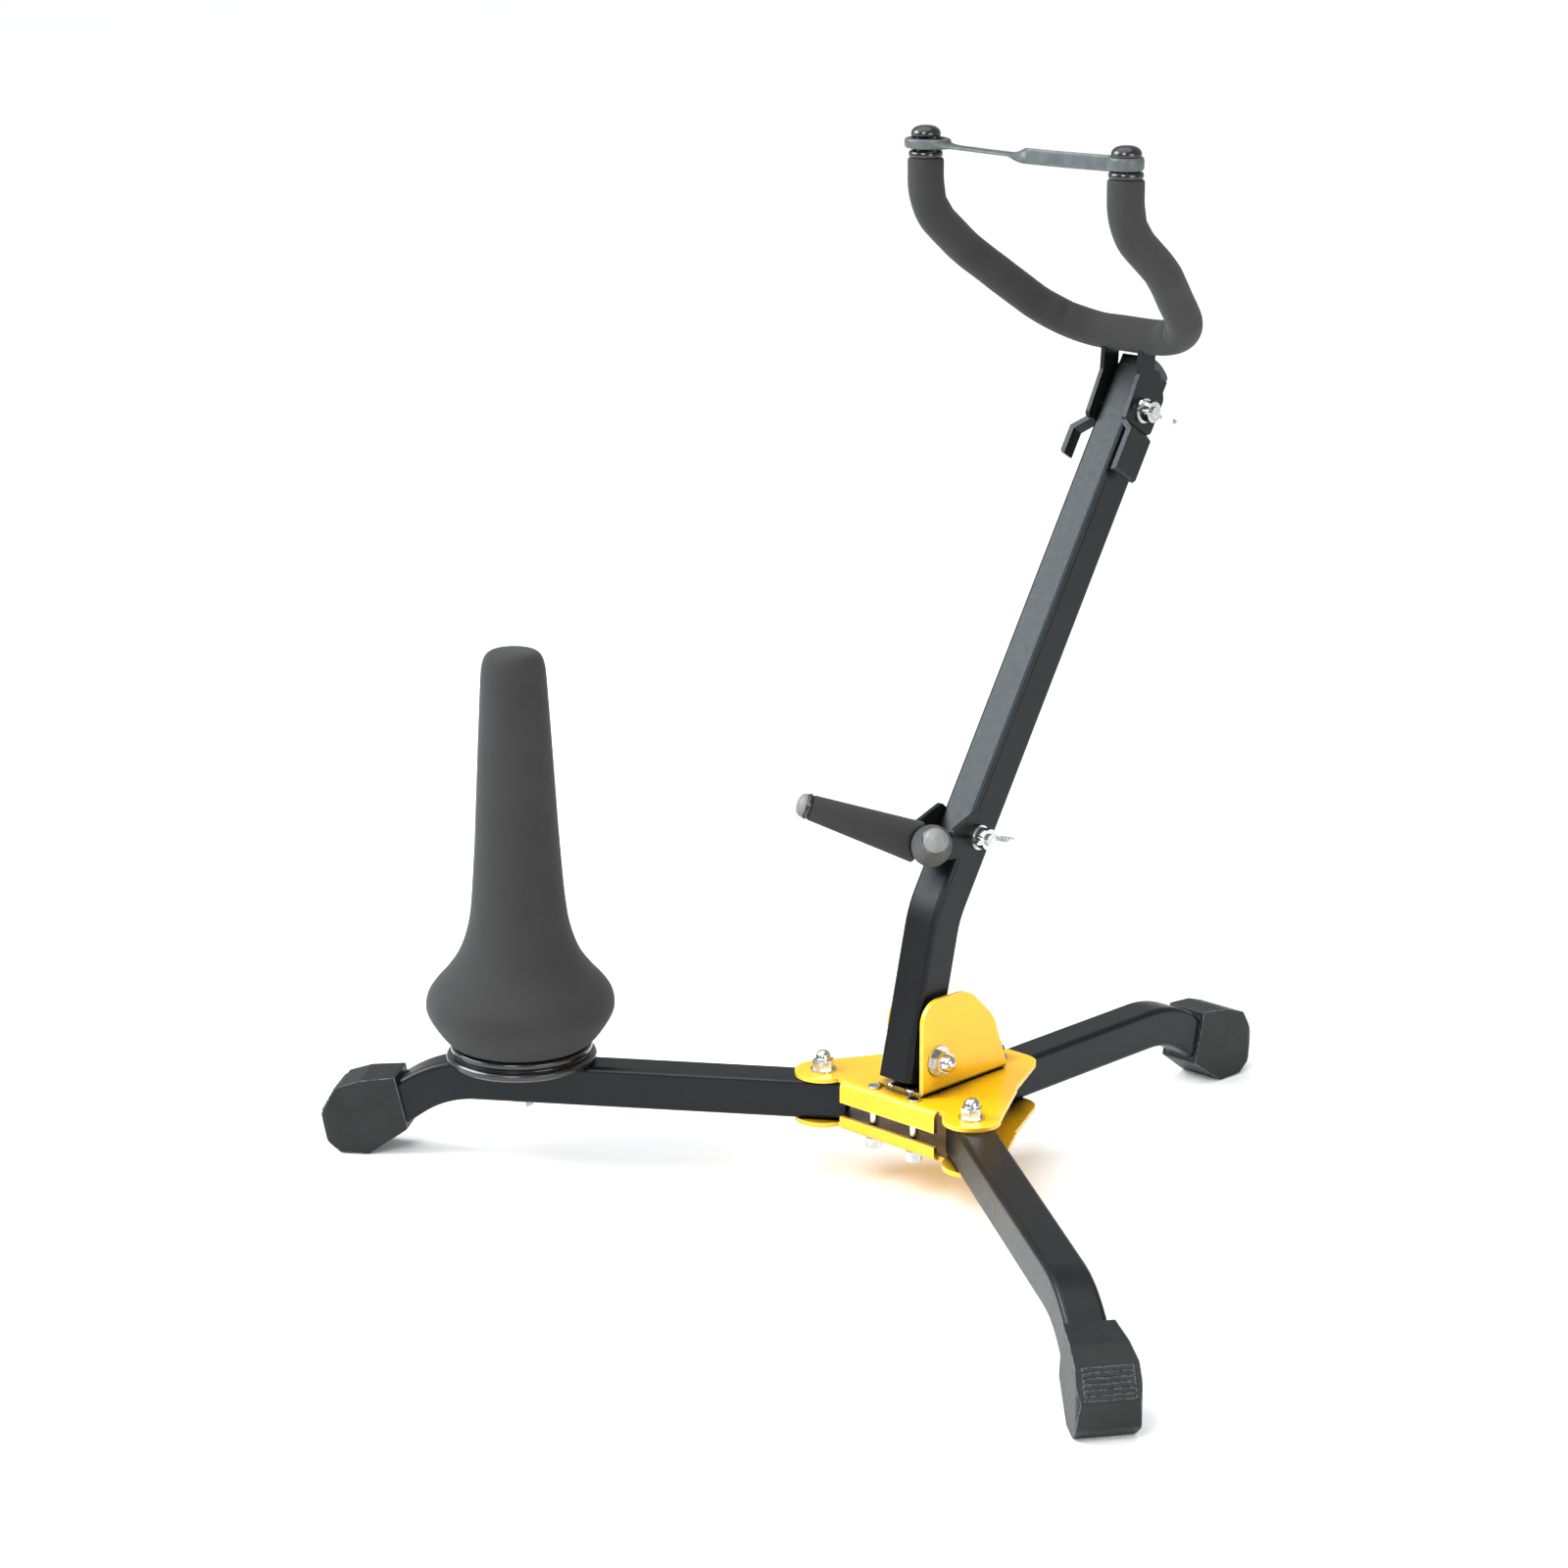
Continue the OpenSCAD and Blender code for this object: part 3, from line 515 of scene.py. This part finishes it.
def strap_eye(centre, radius, stretch, half_high, half_thick):
    """Stations round an eye of the strap, drawn out along X by stretch towards the band."""
    count = 72
    stations = []
    for i in range(count):
        angle = 2 * math.pi * i / count
        out = Vector((math.cos(angle), math.sin(angle), 0))
        reach = max(0.0, out.x * math.copysign(1, stretch)) ** 2
        spot = centre + out * radius + Vector((stretch * reach, 0, 0))
        stations.append((spot, Vector((0, 0, 1)), out, half_high, half_thick))
    return stations


def strap_band(start, end):
    """Stations along the band: wide at its start, flat, and on edge past a quarter twist."""
    steps = 90
    twist_from = 0.4
    twist_over = 0.13
    stations = []
    for i in range(steps + 1):
        t = i / steps
        twisted = min(1.0, max(0.0, (t - twist_from) / twist_over))
        angle = math.pi / 2 * twisted * twisted * (3 - 2 * twisted)
        wide = Vector((0, math.cos(angle), math.sin(angle)))
        thin = Vector((0, -math.sin(angle), math.cos(angle)))
        root = max(0.0, 1 - t / 0.1) ** 2
        sag = math.sin(math.pi * t) * 0.8 * MM
        centre = start.lerp(end, t) - Vector((0, 0, sag))
        stations.append((centre, wide, thin, (4.1 + 2.6 * root) * MM, (0.95 + 0.9 * root) * MM))
    return stations


def safety_strap():
    """An eye round each cap's neck and the band between them, melted into one moulding."""
    left, right = (end @ Vector((CAP_NECK, 0, 0)) for end in yoke_ends())
    points = []
    faces = []
    add_skin(points, faces, strap_eye(left, 9.1 * MM, 4 * MM, 2.6 * MM, 1.9 * MM), closed=True)
    add_skin(points, faces, strap_eye(right, 7.3 * MM, -1.5 * MM, 3.4 * MM, 1.6 * MM), closed=True)
    start = left + Vector((11.5 * MM, 0, -0.6 * MM))
    end = right + Vector((-8 * MM, 0, -0.6 * MM))
    add_skin(points, faces, strap_band(start, end), closed=False)

    piece = new_object("safety_strap_band", points, faces)
    melt = piece.modifiers.new("one_moulding", "REMESH")
    melt.mode = "VOXEL"
    melt.voxel_size = 0.35 * MM
    melt.use_smooth_shade = True
    even = piece.modifiers.new("soft_corners", "SMOOTH")
    even.iterations = 6
    settle(piece, "yoke", "strap_rubber", ["safety_strap"])


def yoke_caps():
    """A black cap on each tip: a flange over the foam, a neck for the strap and a domed head."""
    flange = [(0, 0.05), (8.3, 0.05), (8.7, 0.5), (8.8, 1.4), (8.7, 2.6), (8.2, 3.3), (6.4, 3.9)]
    neck = [(5.5, 4.9), (5.3, 6.5), (5.3, 9.2), (5.8, 10)]
    head = [(7.1, 10.4), (7.6, 11), (7.7, 12), (7.4, 13.2), (6.6, 14.4), (5.2, 15.4), (3.2, 16),
            (1.4, 16.2), (0, 16.25)]
    profile = [(r * MM, z * MM) for r, z in flange + neck + head]
    for end, (_, label) in zip(yoke_ends(), SIDES):
        piece = lathe("yoke_cap_" + label, profile, end @ turn(math.pi / 2, "Y"))
        settle(piece, "yoke", "black_plastic", ["yoke_tip_caps"] if label == "left" else [])


def rest_caps():
    """Each rest arm's cap: a black collar against the foam and a grey rounded end."""
    collar = [(0, 0.05), (6.5, 0.05), (6.85, 0.4), (6.9, 1.3), (6.75, 2.2), (6.2, 2.4), (0, 2.4)]
    dome = [(0, 2.4), (6.1, 2.4), (6.3, 2.8), (6.25, 3.4), (5.9, 4.4), (5.1, 5.5), (3.9, 6.3),
            (2.3, 6.8), (1, 6.95), (0, 7)]
    for side, label in SIDES:
        tip = at_rest_arm(side) @ Matrix.Translation((REST_FOAM_END, 0, 0))
        nodes = ["rest_tip_caps"] if label == "left" else []
        for part, outline, slot in (("collar", collar, "black_plastic"), ("cap", dome, "grey_plastic")):
            profile = [(r * MM, z * MM) for r, z in outline]
            piece = lathe("rest_" + part + "_" + label, profile, tip @ turn(math.pi / 2, "Y"))
            settle(piece, "rest", slot, nodes if part == "cap" else [])


# ---- foam ----

def lip_drop(near_end, lip):
    """How far a sleeve's edge is rounded down, at that far from its end."""
    rest = max(0.0, 1 - near_end / lip)
    return lip * (1 - math.sqrt(max(0.0, 1 - rest * rest)))


def sleeve_radius(radius, path, pinches, lip):
    """The outer radius of a sleeve: rounded over at its ends, creased on the inside of bends."""
    total = path[-1][1]

    def outer(i, angle, here):
        along = path[i][1]
        shape = radius - lip_drop(min(along, total - along), lip)
        facing = here.to_3x3() @ Vector((0, math.cos(angle), math.sin(angle)))
        for middle, inside, bend in pinches:
            gap = (along - middle) / MM
            side = max(0.0, facing.dot(inside)) ** 2
            swell = 0.45 * math.exp(-((abs(gap) - 8) / 5) ** 2)
            crease = 0.55 * math.exp(-(gap / 2.2) ** 2)
            shape += side * bend * (swell - crease) * MM
        spot = here @ Vector((0, radius * math.cos(angle), radius * math.sin(angle)))
        return shape + 0.12 * MM * noise.noise(spot * 90) + 0.04 * MM * noise.noise(spot * 420)

    return outer


def yoke_foam():
    """One sleeve over the whole yoke rod, from tip to tip."""
    half_path, half_pinches = walk(YOKE_MOVES, Matrix.Identity(4), 0.9 * MM)
    half = half_path[-1][1]
    place = at_yoke()
    path = []
    for here, along in reversed(half_path[1:]):
        path.append((place @ (MIRROR @ here @ MIRROR), half - along))
    for here, along in half_path:
        path.append((place @ here, half + along))
    turned = place.to_3x3()
    pinches = []
    for middle, inside, bend in half_pinches:
        pinches.append((half + middle, turned @ inside, bend))
        pinches.append((half - middle, turned @ (MIRROR.to_3x3() @ inside), bend))
    outer = sleeve_radius(YOKE_FOAM_R, path, pinches, 1.6 * MM)
    piece = tube("yoke_foam_sleeve", path, outer, YOKE_ROD_R + ROD_GAP)
    settle(piece, "yoke", "foam", ["yoke_foam"])


def rest_foam_start(side, across):
    """Where the foam starts along a rest arm, at that far sideways from the arm's axis. It stays
    on its own side of the stand's middle and in front of the bracket's web."""
    out = REST_ROOT.x - side * across * math.cos(REST_SPREAD)
    ahead = REST_ROOT.y + side * across * math.sin(REST_SPREAD)
    past_middle = (FACE_GAP - out) / math.sin(REST_SPREAD)
    past_web = (REST_WEB + FACE_GAP - ahead) / math.cos(REST_SPREAD)
    return max(0, past_middle, past_web)


def rest_foams():
    """A tapered sleeve on each rest arm, its root pressed flat against the web and the other one."""
    steps = 70
    around = 64
    outward = [(i / steps, False) for i in range(steps + 1)]
    back = [(t, True) for t, _ in reversed(outward)]
    for side, label in SIDES:
        place = at_rest_arm(side)
        points = []
        for t, inside in outward + back:
            for k in range(around):
                angle = 2 * math.pi * k / around
                radius = REST_ROD_R + ROD_GAP if inside else REST_FOAM_R
                start = rest_foam_start(side, radius * math.cos(angle))
                along = start + (REST_FOAM_END - start) * t
                if not inside:
                    near_end = min(along - start, REST_FOAM_END - along)
                    radius -= REST_FOAM_TAPER * along / REST_FOAM_END + lip_drop(near_end, MM)
                spot = Vector((along, radius * math.cos(angle), radius * math.sin(angle)))
                points.append(place @ spot)
        faces = ring_faces(len(outward + back), around, closed=True)
        piece = new_object("rest_foam_" + label, points, faces)
        settle(piece, "rest", "foam", ["rest_foams"] if label == "left" else [])


def peg_cover():
    """The soprano peg's moulded foam cover: a slim cone over a wide flare, hollow underneath."""
    low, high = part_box("peg_cover")
    centre = (low + high) / 2
    outline = [(32, 0), (36, 0.6), (40.5, 4), (45.2, 10), (48.8, 16), (50, 21), (48.9, 26.5), (45, 32),
               (39, 38.6), (33.5, 46), (29.6, 54), (26.6, 64), (24.8, 76), (23.4, 92), (22.1, 110),
               (20.6, 136), (18.9, 165), (17.2, 192), (16.3, 199), (14.6, 203.2), (11.5, 205.4),
               (6, 206.2), (0, 206.4)]
    hollow = [(10, 190), (17, 90), (22, 46), (40, 20), (32, 0)]
    tall = (high.z - low.z) / outline[-1][1]
    wide = (high.x - low.x) / 2 / max(radius for radius, _ in outline)
    skin = smooth_curve([(r * wide, z * tall) for r, z in outline], 6)
    inside = [(0, 190 * tall + 0.3 * MM)] + [(r * MM, z * tall) for r, z in hollow]
    profile = inside + [tuple(p) for p in skin[1:]]
    foot = Matrix.Translation((centre.x, centre.y, low.z))
    piece = lathe("peg_foam_cover", profile, foot, count=96, wobble=0.25 * MM)
    settle(piece, "peg", "foam", ["peg_cover"])


# ---- stage ----

def make_camera():
    azimuth = math.radians(44.28)
    elevation = math.radians(15.82)
    roll = math.radians(-0.17)
    distance = 2.007
    aim = (cad_low + cad_high) / 2 + Vector((-0.058, -0.080, -0.054))
    back = Vector((math.sin(azimuth) * math.cos(elevation), -math.cos(azimuth) * math.cos(elevation),
                   math.sin(elevation)))
    right = Vector((math.cos(azimuth), math.sin(azimuth), 0))
    up = back.cross(right)
    across = right * math.cos(roll) + up * math.sin(roll)
    upward = up * math.cos(roll) - right * math.sin(roll)
    camera = bpy.data.objects.new("camera", bpy.data.cameras.new("camera"))
    camera.data.sensor_width = 36
    camera.data.lens = 90.2
    turned = Matrix((across, upward, back)).transposed()
    camera.matrix_world = Matrix.Translation(aim + back * distance) @ turned.to_4x4()
    bpy.context.scene.collection.objects.link(camera)
    bpy.context.scene.camera = camera


def make_floor():
    reach = 30
    corners = [(-reach, -reach, 0), (reach, -reach, 0), (reach, reach, 0), (-reach, reach, 0)]
    floor = new_object("floor", corners, [(0, 1, 2, 3)], smooth=False)
    finish = Finish("pale_floor", {"Roughness": 0.8, "Specular IOR Level": 0.2})
    cloudy = finish.span(finish.noise(0.4, 3), 0.3, 0.7, 0, 1)
    finish.link(finish.colours(cloudy, (0.88, 0.88, 0.88), (0.9, 0.9, 0.9)), "Base Color")
    floor.data.materials.append(finish.material)


def make_world():
    world = bpy.data.worlds.new("studio")
    world.use_nodes = True
    background = world.node_tree.nodes["Background"]
    background.inputs["Color"].default_value = (0.96, 0.98, 1, 1)
    background.inputs["Strength"].default_value = 0.48
    bpy.context.scene.world = world
    bpy.context.scene.view_settings.view_transform = "Standard"


def lit_ceiling():
    """Very soft light from nearly straight above."""
    data = bpy.data.lights.new("lit_ceiling", "SUN")
    data.angle = math.radians(75)
    data.energy = 2.2
    light = bpy.data.objects.new("lit_ceiling", data)
    light.rotation_euler = (math.radians(8), math.radians(-10), 0)
    bpy.context.scene.collection.objects.link(light)


def softbox(name, toward, size, watts, colour=(1, 1, 1)):
    """An area light that faces the object's middle from the given direction."""
    distance = 2.2
    middle = (cad_low + cad_high) / 2
    data = bpy.data.lights.new(name, "AREA")
    data.shape = "RECTANGLE"
    data.size, data.size_y = size
    data.energy = watts
    data.color = colour
    light = bpy.data.objects.new(name, data)
    direction = Vector(toward).normalized()
    light.location = middle + direction * distance
    light.rotation_mode = "QUATERNION"
    light.rotation_quaternion = direction.to_track_quat("Z", "Y")
    bpy.context.scene.collection.objects.link(light)


def make_lights():
    lit_ceiling()
    softbox("front_left_softbox", (-0.67, -0.56, 0.55), (1.5, 1.1), 62, (0.9, 0.97, 1))
    softbox("front_softbox", (0.3, -0.75, 0.6), (0.7, 0.9), 26)
    softbox("right_softbox", (0.95, -0.15, 0.3), (1.2, 1.2), 22)


make_camera()
make_floor()
make_world()
make_lights()
dress_frame()
yoke_foam()
rest_foams()
peg_cover()
safety_strap()
yoke_caps()
rest_caps()
